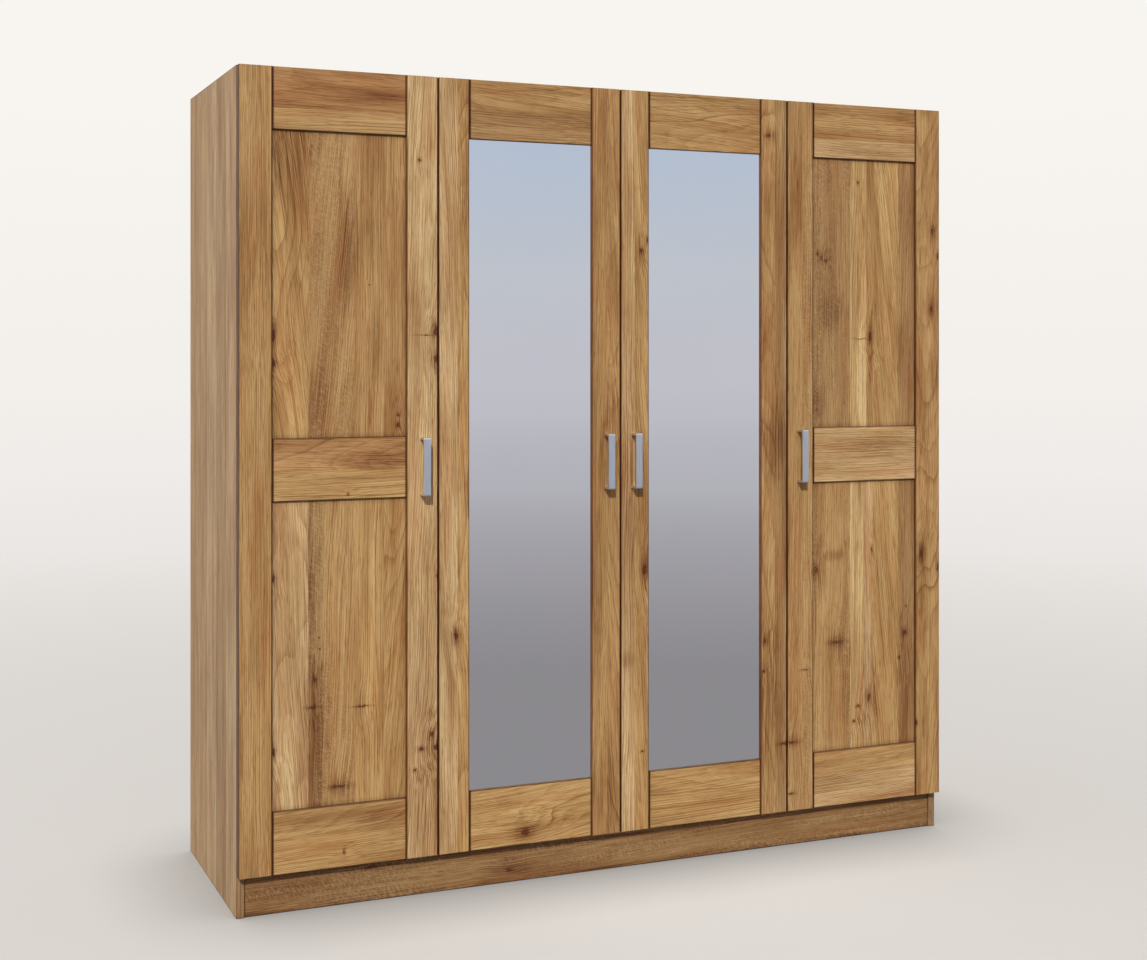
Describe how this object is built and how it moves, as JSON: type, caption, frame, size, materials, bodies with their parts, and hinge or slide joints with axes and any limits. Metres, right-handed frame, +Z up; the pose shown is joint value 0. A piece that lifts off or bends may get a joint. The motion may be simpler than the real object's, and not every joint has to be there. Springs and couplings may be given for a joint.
{
  "type": "wardrobe with doors",
  "caption": "Free-standing knotty oak wardrobe: framed panel doors outside, framed full-height mirror doors in the middle, bow handles, a low plinth, shelves and hanging rails inside.",
  "frame": {"origin": "on the floor, under the middle of the bounding box", "axes": "+Z up, doors face -Y, +X to the right seen from the front"},
  "size_m": [2, 0.646, 2.037],
  "materials": {
    "oak": "oiled knotty oak, satin",
    "back_board": "oak-faced board, satin",
    "mirror": "silvered float glass, polished",
    "handle_nickel": "satin nickel",
    "hinge_steel": "nickel-plated pressed steel",
    "rail_chrome": "chromed tube",
    "socket_zinc": "die-cast zinc, plated"
  },
  "bodies": {
    "carcass": {"bottom_panel": "oak", "clothes_rails": "rail_chrome", "hinge_arms": "hinge_steel", "hinge_plates": "hinge_steel", "left_back": "back_board", "left_divider": "oak", "left_side": "oak", "middle_back": "back_board", "middle_hat_shelf": "oak", "plinth_bearers": "oak", "plinth_front": "oak", "plinth_rear": "oak", "rail_sockets": "socket_zinc", "right_back": "back_board", "right_divider": "oak", "right_hat_shelf": "oak", "right_side": "oak", "shelves": "oak", "top_panel": "oak"},
    "left_door": {"left_door_bottom_rail": "oak", "left_door_free_stile": "oak", "left_door_handle": "handle_nickel", "left_door_hinge_cups": "hinge_steel", "left_door_hinge_stile": "oak", "left_door_lower_panel": "oak", "left_door_middle_rail": "oak", "left_door_top_rail": "oak", "left_door_upper_panel": "oak"},
    "left_door_links": {"left_door_hinge_links": "hinge_steel"},
    "left_mirror_door": {"left_mirror_door_backing": "back_board", "left_mirror_door_beads": "oak", "left_mirror_door_bottom_rail": "oak", "left_mirror_door_free_stile": "oak", "left_mirror_door_handle": "handle_nickel", "left_mirror_door_hinge_cups": "hinge_steel", "left_mirror_door_hinge_stile": "oak", "left_mirror_door_mirror": "mirror", "left_mirror_door_top_rail": "oak"},
    "left_mirror_door_links": {"left_mirror_door_hinge_links": "hinge_steel"},
    "right_mirror_door": {"right_mirror_door_backing": "back_board", "right_mirror_door_beads": "oak", "right_mirror_door_bottom_rail": "oak", "right_mirror_door_free_stile": "oak", "right_mirror_door_handle": "handle_nickel", "right_mirror_door_hinge_cups": "hinge_steel", "right_mirror_door_hinge_stile": "oak", "right_mirror_door_mirror": "mirror", "right_mirror_door_top_rail": "oak"},
    "right_mirror_door_links": {"right_mirror_door_hinge_links": "hinge_steel"},
    "right_door": {"right_door_bottom_rail": "oak", "right_door_free_stile": "oak", "right_door_handle": "handle_nickel", "right_door_hinge_cups": "hinge_steel", "right_door_hinge_stile": "oak", "right_door_lower_panel": "oak", "right_door_middle_rail": "oak", "right_door_top_rail": "oak", "right_door_upper_panel": "oak"},
    "right_door_links": {"right_door_hinge_links": "hinge_steel"}
  },
  "joints": [
    {"name": "left_door_hinge", "type": "hinge", "parent": "carcass", "child": "left_door", "pos_m": [-0.9925, -0.284, 1.0685], "axis": [0, 0, -1], "range_deg": [0, 100]},
    {"name": "left_door_link_swing", "type": "hinge", "parent": "carcass", "child": "left_door_links", "pos_m": [-0.959, -0.26305, 1.0685], "axis": [0, 0, -1], "range_deg": [-50, 0]},
    {"name": "left_mirror_door_hinge", "type": "hinge", "parent": "carcass", "child": "left_mirror_door", "pos_m": [-0.492, -0.284, 1.0685], "axis": [0, 0, -1], "range_deg": [0, 100]},
    {"name": "left_mirror_door_link_swing", "type": "hinge", "parent": "carcass", "child": "left_mirror_door_links", "pos_m": [-0.4585, -0.26305, 1.0685], "axis": [0, 0, -1], "range_deg": [-50, 0]},
    {"name": "right_mirror_door_hinge", "type": "hinge", "parent": "carcass", "child": "right_mirror_door", "pos_m": [0.492, -0.284, 1.0685], "axis": [0, 0, 1], "range_deg": [0, 100]},
    {"name": "right_mirror_door_link_swing", "type": "hinge", "parent": "carcass", "child": "right_mirror_door_links", "pos_m": [0.4585, -0.26305, 1.0685], "axis": [0, 0, 1], "range_deg": [-50, 0]},
    {"name": "right_door_hinge", "type": "hinge", "parent": "carcass", "child": "right_door", "pos_m": [0.9925, -0.284, 1.0685], "axis": [0, 0, 1], "range_deg": [0, 100]},
    {"name": "right_door_link_swing", "type": "hinge", "parent": "carcass", "child": "right_door_links", "pos_m": [0.959, -0.26305, 1.0685], "axis": [0, 0, 1], "range_deg": [-50, 0]}
  ],
  "couplings": [
    {"joint": "left_door_link_swing", "follows": "left_door_hinge", "ratio": -0.5},
    {"joint": "left_mirror_door_link_swing", "follows": "left_mirror_door_hinge", "ratio": -0.5},
    {"joint": "right_mirror_door_link_swing", "follows": "right_mirror_door_hinge", "ratio": -0.5},
    {"joint": "right_door_link_swing", "follows": "right_door_hinge", "ratio": -0.5}
  ]
}
